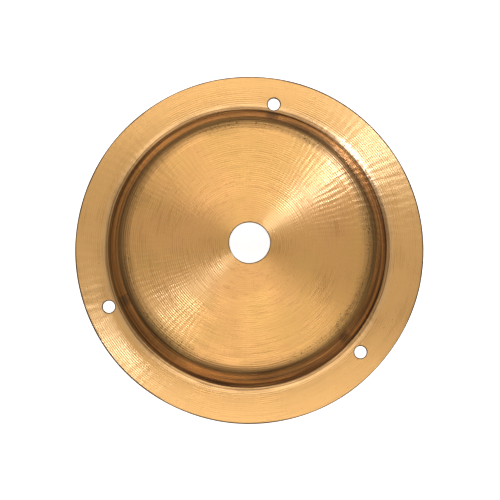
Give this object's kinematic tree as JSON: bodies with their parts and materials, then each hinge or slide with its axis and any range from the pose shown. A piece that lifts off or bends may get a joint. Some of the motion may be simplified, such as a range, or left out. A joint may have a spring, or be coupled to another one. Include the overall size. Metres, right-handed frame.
{
  "type": "gong",
  "caption": "Tam tam gong: a lathed brass hat shape with a flat crown, a leaning wall, a wide flat flange with cord holes, and a round hole in the crown.",
  "frame": {"origin": "middle of the flat underside of the flange, which the gong lies on, on the axis of the round outline", "axes": "+Z along the gong's axis, towards the crown; +Y towards the cord hole that is on its own, +X to its right seen from above"},
  "size_m": [0.254, 0.254, 0.038],
  "materials": {
    "lathed_brass": "lathed in fine rings, with dark pits and unpolished residue near the crown's edge and on the cut edges"
  },
  "bodies": {
    "root": {"gong_plate": "lathed_brass"}
  },
  "joints": []
}
